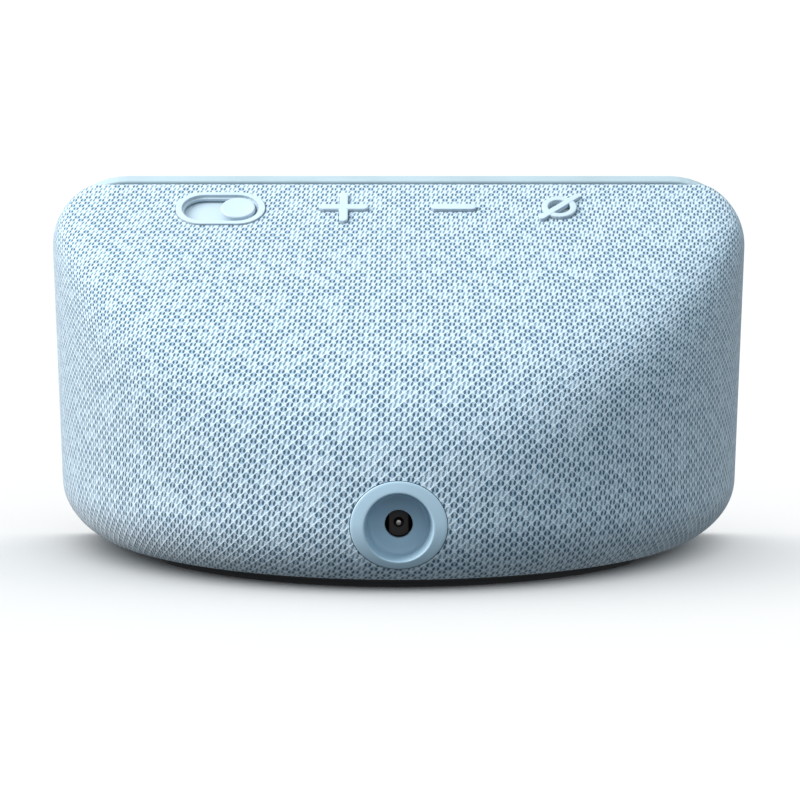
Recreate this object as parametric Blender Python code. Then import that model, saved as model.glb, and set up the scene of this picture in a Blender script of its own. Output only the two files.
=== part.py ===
"""Smart speaker with a leaning screen, as separate pieces. Metres, +Z up, the screen faces -Y."""
import math

import bmesh
import bpy
import numpy as np
from mathutils import Matrix, Vector

for old in list(bpy.data.objects):
    bpy.data.objects.remove(old, do_unlink=True)

MM = 0.001
GAP = 0.3 * MM

# Overall body
WIDTH = 147.0 * MM
HEIGHT = 80.0 * MM
DEPTH = 91.0 * MM
LEAN = math.radians(18.0)
FRAME_FOOT = 2.5 * MM
FRAME_DEPTH = 4.0 * MM
FRAME_WALL = 2.4 * MM
TOP_CORNER = 16.0 * MM
LOW_CORNER = 12.0 * MM
SLOPE_RUN = 1.54
SLOPE_BEND = 4.4
PLAN_POWER = 1.95
RIDGE_POWER = 9.0
TUCK_HEIGHT = 14.0 * MM
TUCK_SIDE = 11.0 * MM
TUCK_REAR = 9.0 * MM
TUCK_CURL = 0.95
REAR_BULGE = 1.9 * MM
SKIN_ROWS = 18
SKIN_COLUMNS = 36

# Shells and base
FABRIC = 0.9 * MM
SKIN_GAP = 0.4 * MM
HOUSING_WALL = 2.0 * MM
HOUSING_FLOOR = 1.6 * MM
FOOT_HEIGHT = 1.2 * MM
BASE_PLATE = 1.8 * MM
FOOT_INSET = 2.6 * MM
FOOT_HALF = 49.5 * MM

# Screen stack
GLASS = 1.2 * MM
GLASS_INSET = 1.0 * MM
PANEL_SIDE = 12.5 * MM
PANEL_BELOW = 9.0 * MM
PANEL_ABOVE = 11.5 * MM
PANEL_THICK = 1.6 * MM
BACKLIGHT = 2.0 * MM
CHASSIS_SIDE = 12.0 * MM
CHASSIS_EDGE = 0.25 * MM
CHASSIS_THICK = 1.8 * MM
CAMERA_SIDE = 11.5 * MM
CAMERA_DROP = 8.3 * MM
CAMERA_RADIUS = 2.6 * MM
CAMERA_LENGTH = 4.2 * MM
BLADE = 0.4 * MM

# Controls on the slope
CONTROL_DROP = 10.0 * MM
PLUS_X = 11.5 * MM
MIC_OFF_X = -33.55 * MM
PROUD = 0.7 * MM
PRESS = 0.5 * MM
PLUS_SPAN = 10.4 * MM
MINUS_SPAN = 9.4 * MM
BAR = 1.85 * MM
RING_RADIUS = 3.7 * MM
RING_BORE = 2.35 * MM
SLASH = 12.0 * MM
SLASH_BAR = 1.4 * MM
KEY_FLANGE = (12.6 * MM, 12.6 * MM, 0.9 * MM)
BEZEL_X = 37.3 * MM
BEZEL_END = 1.8 * MM
BEZEL_SIDE = 1.55 * MM
BEZEL_PROUD = 0.35 * MM
POCKET = 1.75 * MM
KNOB_RADIUS = 3.62 * MM
KNOB_SLACK = 0.53 * MM
SHUTTER_TRAVEL = 7.4 * MM
CARRIER = 0.8 * MM

# Power socket
JACK_RISE = 13.0 * MM
JACK_BAND = (2.8 * MM, 2.0 * MM)
JACK_RING_LIFT = 0.4 * MM
JACK_RIM = 6.7 * MM
JACK_TAPER = 0.6 * MM
JACK_DEPTH = 7.0 * MM
JACK_WALL = 0.9 * MM
SOCKET_BORE = 2.75 * MM
SOCKET_PIN = 0.82 * MM

# Loudspeaker, along its own axis
SPEAKER_DROP = 28.0 * MM
SPEAKER_TILT = math.radians(52.0)
SPEAKER_SINK = 8.0 * MM
BASKET_RADIUS = 21.0 * MM
BASKET_RIM = 2.4 * MM
SURROUND_WIDE = 3.2 * MM
COIL_RADIUS = 6.4 * MM
MAGNET_RADIUS = 13.5 * MM
BOX_WALL = 1.8 * MM
BOX_DEPTH = 21.5 * MM
SOUND_HOLE = 4.6 * MM

# Boards
BOARD = 1.6 * MM
MAIN_BOARD = (70.0 * MM, 56.0 * MM)
KEY_BOARD = (62.0 * MM, 9.0 * MM)
SCREW_HEAD = 2.4 * MM
SCREW_SHANK = 1.2 * MM
ROUND = 28

FRONT_Y = -DEPTH / 2
FRAME_TALL = (HEIGHT - FRAME_FOOT) / math.cos(LEAN)
BASE_TOP = FOOT_HEIGHT + BASE_PLATE
HOUSING_LOW = BASE_TOP + GAP
PANEL = (WIDTH - 2 * PANEL_SIDE, FRAME_TALL - PANEL_BELOW - PANEL_ABOVE, PANEL_THICK)
PANEL_RISE = PANEL_BELOW + PANEL[1] / 2
CHASSIS = (WIDTH - 2 * CHASSIS_SIDE, PANEL[1] + 2 * CHASSIS_EDGE, CHASSIS_THICK)
CAMERA_X = WIDTH / 2 - CAMERA_SIDE
CAMERA_RISE = FRAME_TALL - CAMERA_DROP
WINDOW = (2 * KNOB_RADIUS + SHUTTER_TRAVEL + 2 * GAP, 2 * KNOB_RADIUS + 2 * KNOB_SLACK)
BEZEL = (WINDOW[0] + 2 * BEZEL_END, WINDOW[1] + 2 * BEZEL_SIDE)
JACK_RING = (JACK_RIM + JACK_BAND[0], JACK_RIM + JACK_BAND[1])
JACK_FLOOR = JACK_RIM - JACK_TAPER
SPEAKER_RISE = HEIGHT - SPEAKER_DROP
SURROUND_RADIUS = BASKET_RADIUS - BASKET_RIM
CONE_RADIUS = SURROUND_RADIUS - SURROUND_WIDE
BOX_RADIUS = BASKET_RADIUS + BOX_WALL


# ---------------------------------------------------------------- body surface
def front_y(z):
    """Where the leaning front plane lies at height z."""
    return FRONT_Y + (z - FRAME_FOOT) * math.tan(LEAN)


def slope_y(z):
    """Where the slope that carries the controls lies at height z."""
    drop = HEIGHT - FRAME_DEPTH * math.sin(LEAN) - z
    start = front_y(HEIGHT) + FRAME_DEPTH * math.cos(LEAN)
    return start + SLOPE_RUN * drop - SLOPE_BEND * drop * drop


def slope_angle(z):
    """Angle of the slope below the horizontal at height z."""
    drop = HEIGHT - FRAME_DEPTH * math.sin(LEAN) - z
    return math.atan(1 / (SLOPE_RUN - 2 * SLOPE_BEND * drop))


def curve(z, inset, setback, angle):
    """Plan outline of the body at height z, moved in by inset, at the given angles from +X."""
    tuck_share = max(0.0, min(1.0, (TUCK_HEIGHT - z) / (TUCK_HEIGHT - FOOT_HEIGHT - max(inset, 0.0))))
    tuck = (1 - math.sqrt(1 - (TUCK_CURL * tuck_share) ** 2)) / (1 - math.sqrt(1 - TUCK_CURL ** 2))
    corner = TOP_CORNER - inset
    corner_start = HEIGHT - TOP_CORNER * math.cos(LEAN)
    corner_share = max(0.0, min(1.0, (z - corner_start) / math.cos(LEAN) / corner))
    half = WIDTH / 2 - inset - TUCK_SIDE * tuck - corner * (1 - math.sqrt(1 - corner_share ** 2))
    near = front_y(z) + setback / math.cos(LEAN)
    rear = DEPTH / 2 + REAR_BULGE - inset - TUCK_REAR * tuck - near
    across = np.abs(np.cos(angle))
    back = np.maximum(np.sin(angle), 1e-6)
    plan = ((across / half) ** PLAN_POWER + (back / rear) ** PLAN_POWER) ** (-1 / PLAN_POWER)
    slope = max(slope_y(z) - inset / math.sin(slope_angle(z)) - near, 0.01 * MM) / back
    reach = (plan ** -RIDGE_POWER + slope ** -RIDGE_POWER) ** (-1 / RIDGE_POWER)
    y = near + reach * back
    y[0] = near
    y[-1] = near
    return reach * np.cos(angle), y


def section(z, inset, setback, columns):
    """Plan points at height z, from the +X flank round the rear, evenly spaced on the outer surface."""
    fine = np.linspace(0.0, math.pi, 721)
    x, y = curve(z, 0.0, setback, fine)
    length = np.concatenate(([0.0], np.cumsum(np.hypot(np.diff(x), np.diff(y)))))
    angle = np.interp(np.linspace(0.0, length[-1], columns + 1), length, fine)
    x, y = curve(z, inset, setback, angle)
    return [(px, py, z) for px, py in zip(x, y)]


def top_of(inset, setback):
    """Height where the slope, moved in by inset, meets the plane that lies setback behind the front."""
    low, high = HEIGHT / 2, HEIGHT
    for _ in range(50):
        z = (low + high) / 2
        room = slope_y(z) - inset / math.sin(slope_angle(z)) - front_y(z) - setback / math.cos(LEAN)
        low, high = (z, high) if room > 0 else (low, z)
    return low - 0.2 * MM


# ---------------------------------------------------------------- mesh helpers
def material(name, colour, roughness, metallic=0.0, alpha=1.0):
    """A Principled material."""
    made = bpy.data.materials.new(name)
    made.use_nodes = True
    shader = made.node_tree.nodes["Principled BSDF"]
    shader.inputs["Base Color"].default_value = (*colour, 1.0)
    shader.inputs["Roughness"].default_value = roughness
    shader.inputs["Metallic"].default_value = metallic
    shader.inputs["Alpha"].default_value = alpha
    return made


def add(name, points, faces, slot, parent=None):
    """One closed object from points and faces, in its parent's frame."""
    mesh = bpy.data.meshes.new(name)
    mesh.from_pydata([tuple(p) for p in points], [], faces)
    work = bmesh.new()
    work.from_mesh(mesh)
    bmesh.ops.recalc_face_normals(work, faces=work.faces)
    work.to_mesh(mesh)
    work.free()
    made = bpy.data.objects.new(name, mesh)
    bpy.context.scene.collection.objects.link(made)
    made.data.materials.append(slot)
    made.parent = parent
    return made


def frame(name, place, turn_x):
    """An empty whose own axes lean by turn_x about X."""
    made = bpy.data.objects.new(name, None)
    made.location = place
    made.rotation_euler = (turn_x, 0.0, 0.0)
    made.empty_display_size = 5 * MM
    bpy.context.scene.collection.objects.link(made)
    bpy.context.view_layer.update()
    return made


def origin_to(made, place):
    """Move an object's origin to a place in its parent's frame, with its shape left where it is."""
    made.data.transform(Matrix.Translation(-Vector(place)))
    made.location = place
    return made


def rounded(wide, tall, radius, low_radius=None, steps=6):
    """Rounded rectangle, as points round its centre."""
    low = radius if low_radius is None else low_radius
    corners = ((1, 1, radius), (-1, 1, radius), (-1, -1, low), (1, -1, low))
    points = []
    for number, (side, up, bend) in enumerate(corners):
        for step in range(steps + 1):
            turn = math.radians(90 * (number + step / steps))
            cx = side * (wide / 2 - bend)
            cy = up * (tall / 2 - bend)
            points.append((cx + bend * math.cos(turn), cy + bend * math.sin(turn)))
    return points


def disc(radius, steps=ROUND):
    """Circle, as points round its centre."""
    return [(radius * math.cos(2 * math.pi * k / steps), radius * math.sin(2 * math.pi * k / steps))
            for k in range(steps)]


def moved(points, dx=0.0, dy=0.0, turn=0.0):
    """Plan points, turned and then moved."""
    c, s = math.cos(turn), math.sin(turn)
    return [(c * x - s * y + dx, s * x + c * y + dy) for x, y in points]


def prism(name, outline, low, high, slot, parent=None, along="Z"):
    """A plan outline extruded along Z, or along Y with plan Y standing for Z."""
    count = len(outline)
    if along == "Z":
        points = [(x, y, h) for h in (low, high) for x, y in outline]
    else:
        points = [(x, h, y) for h in (low, high) for x, y in outline]
    faces = [tuple(range(count)), tuple(range(count, 2 * count))]
    for k in range(count):
        n = (k + 1) % count
        faces.append((k, n, count + n, count + k))
    return add(name, points, faces, slot, parent)


def turned(name, profile, slot, parent=None, steps=ROUND, along="Z"):
    """A closed (radius, height) profile turned about Z or Y; points at radius zero become poles."""
    rings = []
    points = []
    for radius, height in profile:
        first = len(points)
        ring = [(0.0, 0.0)] if radius == 0 else disc(radius, steps)
        for x, y in ring:
            points.append((x, y, height) if along == "Z" else (x, height, y))
        rings.append([first + k for k in range(len(ring))] * (steps if radius == 0 else 1))
    faces = []
    for number, ring in enumerate(rings):
        after = rings[(number + 1) % len(rings)]
        if len(set(ring)) == 1 and len(set(after)) == 1:
            continue
        for k in range(steps):
            n = (k + 1) % steps
            corners = list(dict.fromkeys((ring[k], ring[n], after[n], after[k])))
            faces.append(tuple(corners))
    return add(name, points, faces, slot, parent)


def tube_profile(outer, inner, low, high):
    """Square profile of a plain ring."""
    return [(inner, low), (outer, low), (outer, high), (inner, high)]


def bake(made):
    """Replace an object's mesh with what its modifiers give."""
    bpy.context.view_layer.update()
    view = bpy.context.evaluated_depsgraph_get()
    mesh = bpy.data.meshes.new_from_object(made.evaluated_get(view))
    made.modifiers.clear()
    made.data = mesh
    return made


def combine(made, tools, operation="DIFFERENCE"):
    """Cut, join or intersect an object with tool objects, which are used up."""
    for tool in tools:
        step = made.modifiers.new("combine", "BOOLEAN")
        step.operation = operation
        step.solver = "EXACT"
        step.object = tool
        tool.hide_render = True
        tool.display_type = "WIRE"
        bake(made)
        bpy.data.objects.remove(tool, do_unlink=True)
    return made


def smooth(made, degrees=35.0):
    """Shade smooth, with edges sharper than degrees kept crisp."""
    made.data.shade_smooth()
    made.data.set_sharp_from_angle(angle=math.radians(degrees))
    return made


def soften(made, width, segments=2, degrees=40.0):
    """Round the sharp edges."""
    step = made.modifiers.new("soften", "BEVEL")
    step.width = width
    step.segments = segments
    step.limit_method = "ANGLE"
    step.angle_limit = math.radians(degrees)
    step.harden_normals = False
    return smooth(bake(made))


def body(name, inset, bottom, slot, forward=0.0, setback=FRAME_DEPTH):
    """The whole body as a solid, moved in by inset, with a flat front and bottom; forward pads the front."""
    high = top_of(inset, setback)
    levels = [HOUSING_LOW]
    for row in range(SKIN_ROWS + 1):
        share = row / SKIN_ROWS
        eased = 0.5 - 0.5 * math.cos(math.pi * (0.25 * share + 0.75 * share ** 1.2))
        levels.append(FOOT_HEIGHT + (top_of(0.0, setback) - FOOT_HEIGHT) * eased)
    heights = [bottom] + sorted(z for z in levels if bottom + 0.2 * MM < z < high - 0.2 * MM) + [high]
    points = []
    for z in heights:
        outline = section(z, inset, setback, SKIN_COLUMNS)
        (x0, y0, z0), (x1, y1, z1) = outline[0], outline[-1]
        if forward:
            outline = [(x0, y0 - forward, z0)] + outline + [(x1, y1 - forward, z1)]
        points += outline
    rows = len(heights) - 1
    width = len(points) // (rows + 1)
    faces = []
    for row in range(rows):
        for column in range(width - 1):
            a = row * width + column
            above = a + width
            if column < width // 2:
                faces += [(a, a + 1, above), (a + 1, above + 1, above)]
            else:
                faces += [(a, a + 1, above + 1), (a, above + 1, above)]
    left = [row * width for row in range(rows + 1)]
    right = [row * width + width - 1 for row in range(rows + 1)]
    for row in range(rows):
        faces.append((left[row], left[row + 1], right[row + 1], right[row]))
    faces.append(tuple(range(width)))
    faces.append(tuple(range(rows * width, (rows + 1) * width)))
    return add(name, points, faces, slot)


# ---------------------------------------------------------------- materials
BLUE = (0.43, 0.60, 0.70)
fabric_blue = material("fabric_blue", (0.45, 0.61, 0.70), 0.9)
shell_blue = material("shell_blue", BLUE, 0.45)
key_blue = material("key_blue", (0.50, 0.66, 0.75), 0.5)
shell_grey = material("shell_grey", (0.16, 0.17, 0.18), 0.6)
rubber_black = material("rubber_black", (0.02, 0.02, 0.022), 0.75)
plastic_black = material("plastic_black", (0.025, 0.025, 0.03), 0.45)
glass_black = material("glass_black", (0.01, 0.01, 0.013), 0.06)
lens_glass = material("lens_glass", (0.03, 0.03, 0.06), 0.03)
diffuser = material("diffuser", (0.62, 0.64, 0.65), 0.5)
board_green = material("board_green", (0.03, 0.12, 0.07), 0.5)
steel = material("steel", (0.55, 0.55, 0.56), 0.35, 1.0)
nickel = material("nickel", (0.72, 0.69, 0.64), 0.25, 1.0)
aluminium = material("aluminium", (0.75, 0.76, 0.77), 0.4, 1.0)
paper_cone = material("paper_cone", (0.05, 0.05, 0.055), 0.85)
ferrite = material("ferrite", (0.07, 0.07, 0.075), 0.6)
copper = material("copper", (0.80, 0.42, 0.22), 0.35, 1.0)
pad_grey = material("pad_grey", (0.35, 0.40, 0.45), 0.8)
film_amber = material("film_amber", (0.45, 0.22, 0.06), 0.4)

# ---------------------------------------------------------------- frames
# front: X across, Y into the body, Z up the leaning screen
front = frame("front", (0.0, FRONT_Y, FRAME_FOOT), -LEAN)
# slope: X across, Y down the slope, Z out through the fabric, origin between the keys
control_z = HEIGHT - FRAME_DEPTH * math.sin(LEAN) - CONTROL_DROP * math.sin(slope_angle(HEIGHT * 0.95))
control_tilt = slope_angle(control_z)
slope = frame("slope", (0.0, slope_y(control_z), control_z), -control_tilt)
# speaker: Z is the cone's axis, pointing out through the rear slope
speaker_out = Vector((0.0, math.cos(SPEAKER_TILT), math.sin(SPEAKER_TILT)))
speaker_seat = Vector((0.0, slope_y(SPEAKER_RISE), SPEAKER_RISE)) - speaker_out * SPEAKER_SINK
speaker = frame("speaker", speaker_seat, -(math.pi / 2 - SPEAKER_TILT))
# jack: X across, Y out of the socket
jack = frame("jack", (0.0, 0.0, JACK_RISE), 0.0)


def front_outline(inset):
    """The screen's outline, moved in by inset, centred half way up the front frame."""
    wide = WIDTH - 2 * inset
    tall = FRAME_TALL - 2 * inset
    points = rounded(wide, tall, TOP_CORNER - inset, LOW_CORNER - inset, 12)
    return moved(points, dy=FRAME_TALL / 2)


# ---------------------------------------------------------------- screen side
front_frame = prism("front_frame", front_outline(0), 0, FRAME_DEPTH - GAP, shell_blue, front, "Y")
glass_well = prism("well", front_outline(GLASS_INSET), -1 * MM, GLASS + 0.3 * MM, shell_blue, front, "Y")
frame_bore = prism("bore", front_outline(FRAME_WALL), 0, FRAME_DEPTH + 1 * MM, shell_blue, front, "Y")
soften(combine(front_frame, [glass_well, frame_bore]), 0.35 * MM, 2)

cover_glass = prism("cover_glass", front_outline(GLASS_INSET + GAP), 0.15 * MM, GLASS, glass_black, front, "Y")
soften(cover_glass, 0.25 * MM, 2)

panel_near = GLASS + 1.3 * MM
panel_far = panel_near + PANEL[2]
light_far = panel_far + GAP + BACKLIGHT
chassis_near = light_far + GAP
panel_plan = moved(rounded(PANEL[0], PANEL[1], 1.5 * MM, steps=3), dy=PANEL_RISE)
prism("display_panel", panel_plan, panel_near, panel_far, plastic_black, front, "Y")
prism("backlight_tray", panel_plan, panel_far + GAP, light_far, steel, front, "Y")
chassis_plan = moved(rounded(CHASSIS[0], CHASSIS[1], 4 * MM, 8 * MM, 4), dy=PANEL_RISE)
prism("inner_chassis", chassis_plan, chassis_near, chassis_near + CHASSIS[2], shell_grey, front, "Y")

# ---------------------------------------------------------------- camera and its shutter
blade_near = GLASS + GAP
camera_near = blade_near + BLADE + GAP
camera_plan = moved(disc(CAMERA_RADIUS, 24), CAMERA_X, CAMERA_RISE)
camera = prism("camera_module", camera_plan, camera_near, camera_near + CAMERA_LENGTH, plastic_black, front, "Y")
lens_well = moved(disc(CAMERA_RADIUS * 0.6, 24), CAMERA_X, CAMERA_RISE)
combine(camera, [prism("well", lens_well, camera_near - 1 * MM, camera_near + 1 * MM, plastic_black, front, "Y")])
lens_plan = moved(disc(CAMERA_RADIUS * 0.6 - 0.1 * MM, 24), CAMERA_X, CAMERA_RISE)
prism("camera_lens", lens_plan, camera_near + 0.2 * MM, camera_near + 0.7 * MM, lens_glass, front, "Y")

knob_x = BEZEL_X - WINDOW[0] / 2 + KNOB_RADIUS + GAP
pocket_top = BEZEL_PROUD - POCKET
carrier_low = pocket_top - CARRIER
bezel_low = pocket_top + GAP
bezel = prism("shutter_bezel", moved(rounded(*BEZEL, BEZEL[1] / 2 - 0.01 * MM), BEZEL_X),
              bezel_low, BEZEL_PROUD, key_blue, slope)
window_plan = rounded(*WINDOW, WINDOW[1] / 2 - 0.01 * MM)
lip_plan = rounded(WINDOW[0] + 0.9 * MM, WINDOW[1] + 0.9 * MM, (WINDOW[1] + 0.9 * MM) / 2 - 0.01 * MM)
step_high = (BEZEL_PROUD + bezel_low) / 2
combine(bezel, [prism("window", moved(window_plan, BEZEL_X), -5 * MM, 5 * MM, key_blue, slope),
                prism("lip", moved(lip_plan, BEZEL_X), step_high, 5 * MM, key_blue, slope)])
soften(bezel, 0.2 * MM, 2, 50)

# The knob stands on a carrier that always covers the window and slides under the fabric.
shutter_knob = prism("shutter_knob", moved(disc(KNOB_RADIUS), knob_x), carrier_low + 0.2 * MM,
                     BEZEL_PROUD + 0.1 * MM, key_blue, slope)
soften(shutter_knob, 0.35 * MM, 3)
carrier_ends = (BEZEL_X - WINDOW[0] / 2 - SHUTTER_TRAVEL - 0.6 * MM, BEZEL_X + WINDOW[0] / 2 + 0.6 * MM)
carrier_wide = WINDOW[1] + 1.2 * MM
carrier_plan = moved(rounded(carrier_ends[1] - carrier_ends[0], carrier_wide, 1 * MM, steps=3),
                     sum(carrier_ends) / 2)
combine(shutter_knob, [prism("carrier", carrier_plan, carrier_low, pocket_top, key_blue, slope)], "UNION")
smooth(origin_to(shutter_knob, (knob_x, 0.0, 0.0)))

# The blade hangs from the carrier by a post and an arm, and closes over the lens behind the glass.
blade_reach = CAMERA_X - CAMERA_RADIUS * 0.6 - 0.9 * MM
blade_plan = moved(rounded(blade_reach - knob_x + 3 * MM, 4.8 * MM, 2.2 * MM, steps=4),
                   (blade_reach + knob_x - 3 * MM) / 2, CAMERA_RISE)
shutter_blade = prism("shutter_blade", blade_plan, blade_near, blade_near + BLADE, plastic_black, front, "Y")
slope_in_front = front.matrix_world.inverted() @ slope.matrix_world
post_foot = slope_in_front @ Vector((knob_x, 0.0, carrier_low - 4.2 * MM))
arm_rise = CAMERA_RISE + 1.4 * MM
arm_plan = moved(rounded(6 * MM, 1.6 * MM, 0.3 * MM, steps=2), knob_x, arm_rise)
arm = prism("arm", arm_plan, blade_near, post_foot.y + 1.4 * MM, plastic_black, front, "Y")
post_plan = moved(rounded(6 * MM, 2.4 * MM, 0.3 * MM, steps=2), knob_x)
post = prism("post", post_plan, carrier_low - 5.6 * MM, carrier_low - GAP, plastic_black, slope)
combine(shutter_blade, [arm, post], "UNION")
origin_to(shutter_blade, (knob_x, 0.0, CAMERA_RISE))


# ---------------------------------------------------------------- keys
def bar(length, wide, turn=0.0, dx=0.0):
    """A round-ended bar, as plan points."""
    return moved(rounded(length, wide, wide / 2 - 0.01 * MM, steps=4), dx, 0.0, turn)


housing_in = FABRIC + SKIN_GAP + HOUSING_WALL
flange_top = -(housing_in + 0.5 * MM)
flange_low = flange_top - KEY_FLANGE[2]
switch_top = flange_low - PRESS - 0.1 * MM
SWITCH = (4.5 * MM, 4.5 * MM, 1.6 * MM)
board_top = switch_top - 0.6 * MM - SWITCH[2] - GAP


def plus_plan(span, wide, dx, steps=4):
    """A plus with round ends, as plan points."""
    points = []
    for arm_number in range(4):
        turn = math.radians(90 * arm_number)
        end = [(wide / 2 * math.cos(a) + (span - wide) / 2, wide / 2 * math.sin(a))
               for a in (math.radians(-90 + 180 * k / steps) for k in range(steps + 1))]
        points += moved(end + [(wide / 2, wide / 2)], 0.0, 0.0, turn)
    return moved(points, dx)


def key(name, x, outline, depth):
    """A key: its raised shape, down to depth, on a hidden flange, with its origin on the slope."""
    made = prism(name, outline, depth, PROUD, key_blue, slope)
    soften(made, 0.25 * MM, 2, 60)
    foot = prism("flange", moved(rounded(KEY_FLANGE[0], KEY_FLANGE[1] * 0.75, 1.5 * MM, steps=3), x),
                 flange_low, flange_top, key_blue, slope)
    combine(made, [foot], "UNION")
    return smooth(origin_to(made, (x, 0.0, 0.0)))


key_depth = flange_top - 0.3 * MM
key("plus_button", PLUS_X, plus_plan(PLUS_SPAN, BAR, PLUS_X), key_depth)
key("minus_button", -PLUS_X, bar(MINUS_SPAN, BAR, 0.0, -PLUS_X), key_depth)

# The mic-off key is a ring on a collar, struck through by a bar that bridges the light guide.
SLASH_TURN = math.radians(45)
mic_key = turned("mic_off_button", tube_profile(RING_RADIUS, RING_BORE, key_depth, PROUD), key_blue, slope)
mic_key.data.transform(Matrix.Translation((MIC_OFF_X, 0.0, 0.0)))
soften(mic_key, 0.2 * MM, 2, 60)
slash = prism("slash", bar(SLASH, SLASH_BAR, SLASH_TURN, MIC_OFF_X), -0.3 * MM, PROUD + 0.05 * MM, key_blue, slope)
combine(mic_key, [soften(slash, 0.2 * MM, 2, 60)], "UNION")
mic_foot = prism("flange", moved(rounded(KEY_FLANGE[0], KEY_FLANGE[1] * 0.75, 1.5 * MM, steps=3), MIC_OFF_X),
                 flange_low, flange_top, key_blue, slope)
guide_hole = prism("hole", moved(disc(RING_BORE, 24), MIC_OFF_X), -9 * MM, -0.6 * MM, key_blue, slope)
combine(combine(mic_key, [mic_foot], "UNION"), [guide_hole])
smooth(origin_to(mic_key, (MIC_OFF_X, 0.0, 0.0)))
guide = prism("mic_light_guide", moved(disc(RING_BORE - 0.15 * MM, 24), MIC_OFF_X),
              flange_low + 0.1 * MM, -0.6 * MM, diffuser, slope)
smooth(origin_to(guide, (MIC_OFF_X, 0.0, 0.0)))

board_x = (PLUS_X + MIC_OFF_X) / 2
key_board_plan = moved(rounded(*KEY_BOARD, 1 * MM, steps=2), board_x)
prism("button_board", key_board_plan, board_top - 1.0 * MM, board_top, board_green, slope)
for label, x in (("plus", PLUS_X), ("minus", -PLUS_X), ("mic_off", MIC_OFF_X)):
    low = board_top + GAP
    switch = prism("switch_" + label, moved(rounded(SWITCH[0], SWITCH[1], 0.4 * MM, steps=2), x),
                   low, low + SWITCH[2], plastic_black, slope)
    dome = turned("dome", [(0, low + 0.5 * MM), (1.6 * MM, low + 0.5 * MM), (1.3 * MM, switch_top - 0.2 * MM),
                           (0.6 * MM, switch_top), (0, switch_top)], plastic_black, slope, 16)
    dome.data.transform(Matrix.Translation((x, 0.0, 0.0)))
    combine(switch, [dome], "UNION")
for label, x in (("left", PLUS_X + 5.5 * MM), ("right", MIC_OFF_X + 7 * MM)):
    prism("microphone_" + label, moved(rounded(3.6 * MM, 2.8 * MM, 0.3 * MM, steps=2), x),
          board_top + GAP, board_top + GAP + 1.0 * MM, nickel, slope)

# ---------------------------------------------------------------- fabric and rear housing
skin_in = FABRIC + SKIN_GAP
fabric = body("fabric_cover", 0.0, FOOT_HEIGHT, fabric_blue)
combine(fabric, [body("hollow", FABRIC, FOOT_HEIGHT - 1 * MM, fabric_blue, 5 * MM)])
housing = body("rear_housing", skin_in, HOUSING_LOW, shell_grey)
combine(housing, [body("hollow", skin_in + HOUSING_WALL, HOUSING_LOW + HOUSING_FLOOR, shell_grey, 5 * MM)])


def through(plan, wall):
    """A cutter through one of the shells, along the slope's normal."""
    low = -7 * MM if wall == "housing" else -0.98 * FABRIC - GAP * 0.5
    return prism("cut", plan, low, 6 * MM, shell_grey, slope)


for shell, wall in ((fabric, "fabric"), (housing, "housing")):
    cuts = [through(plus_plan(PLUS_SPAN + 2 * GAP, BAR + 2 * GAP, PLUS_X), wall)]
    cuts.append(through(bar(MINUS_SPAN + 2 * GAP, BAR + 2 * GAP, 0.0, -PLUS_X), wall))
    cuts.append(through(moved(disc(RING_RADIUS + GAP, 24), MIC_OFF_X), wall))
    cuts.append(through(bar(SLASH + 2 * GAP, SLASH_BAR + 2 * GAP, SLASH_TURN, MIC_OFF_X), wall))
    combine(shell, cuts)
bezel_hole = (BEZEL[0] + 2 * GAP, BEZEL[1] + 2 * GAP)
combine(fabric, [through(moved(rounded(*bezel_hole, bezel_hole[1] / 2 - 0.01 * MM), BEZEL_X), "fabric")])
channel_long = carrier_ends[1] - carrier_ends[0] + SHUTTER_TRAVEL + 2 * GAP
channel_mid = (carrier_ends[0] + carrier_ends[1] + SHUTTER_TRAVEL) / 2
combine(housing, [through(moved(rounded(channel_long, carrier_wide + 2 * GAP, 1.2 * MM, steps=3), channel_mid),
                          "housing")])

# ---------------------------------------------------------------- power socket
rear_y = DEPTH / 2
floor_y = rear_y - JACK_DEPTH
cup = JACK_RIM + JACK_WALL


def ring_plan(grow):
    """The trim ring's outline: a band of even width over the curved rear."""
    wide, tall = JACK_RING[0] + grow, JACK_RING[1] + grow
    return [(x * wide, y * tall + JACK_RING_LIFT) for x, y in disc(1.0, 40)]


jack_ring = prism("jack_ring", ring_plan(0.0), 0.0, rear_y + 4 * MM, shell_blue, jack, "Y")
combine(jack_ring, [body("outside", -0.15 * MM, -2 * MM, shell_blue)], "INTERSECT")
combine(jack_ring, [body("behind", skin_in - 0.4 * MM, -3 * MM, shell_blue)])
cup_body = prism("cup", disc(cup, 40), floor_y - JACK_WALL, rear_y + 4 * MM, shell_blue, jack, "Y")
combine(cup_body, [body("outside", -0.15 * MM, -2 * MM, shell_blue)], "INTERSECT")
combine(jack_ring, [cup_body], "UNION")
recess = turned("recess", [(0, floor_y), (JACK_FLOOR - 1 * MM, floor_y), (JACK_FLOOR - 0.3 * MM, floor_y + 0.3 * MM),
                           (JACK_FLOOR, floor_y + 1 * MM), (JACK_RIM, rear_y), (JACK_RIM, rear_y + 5 * MM),
                           (0, rear_y + 5 * MM)], shell_blue, jack, 40, "Y")
nose = prism("nose", disc(SOCKET_BORE, 24), floor_y - 4 * MM, floor_y + 1 * MM, shell_blue, jack, "Y")
combine(jack_ring, [recess, nose])
smooth(jack_ring, 30)
combine(fabric, [prism("cut", ring_plan(GAP * 0.6), rear_y - 12 * MM, rear_y + 4 * MM, fabric_blue, jack, "Y")])
combine(housing, [prism("cut", disc(cup + GAP * 0.7, 32), rear_y - 20 * MM, rear_y + 4 * MM, shell_grey, jack, "Y")])
for row in range(-1, 2):
    for column in range(-1, 2):
        hole = prism("cut", moved(disc(SOUND_HOLE, 14), column * 11.5 * MM, row * 11.5 * MM),
                     0.0, 20 * MM, shell_grey, speaker)
        combine(housing, [hole])
smooth(fabric, 50)
smooth(housing, 50)

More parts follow.
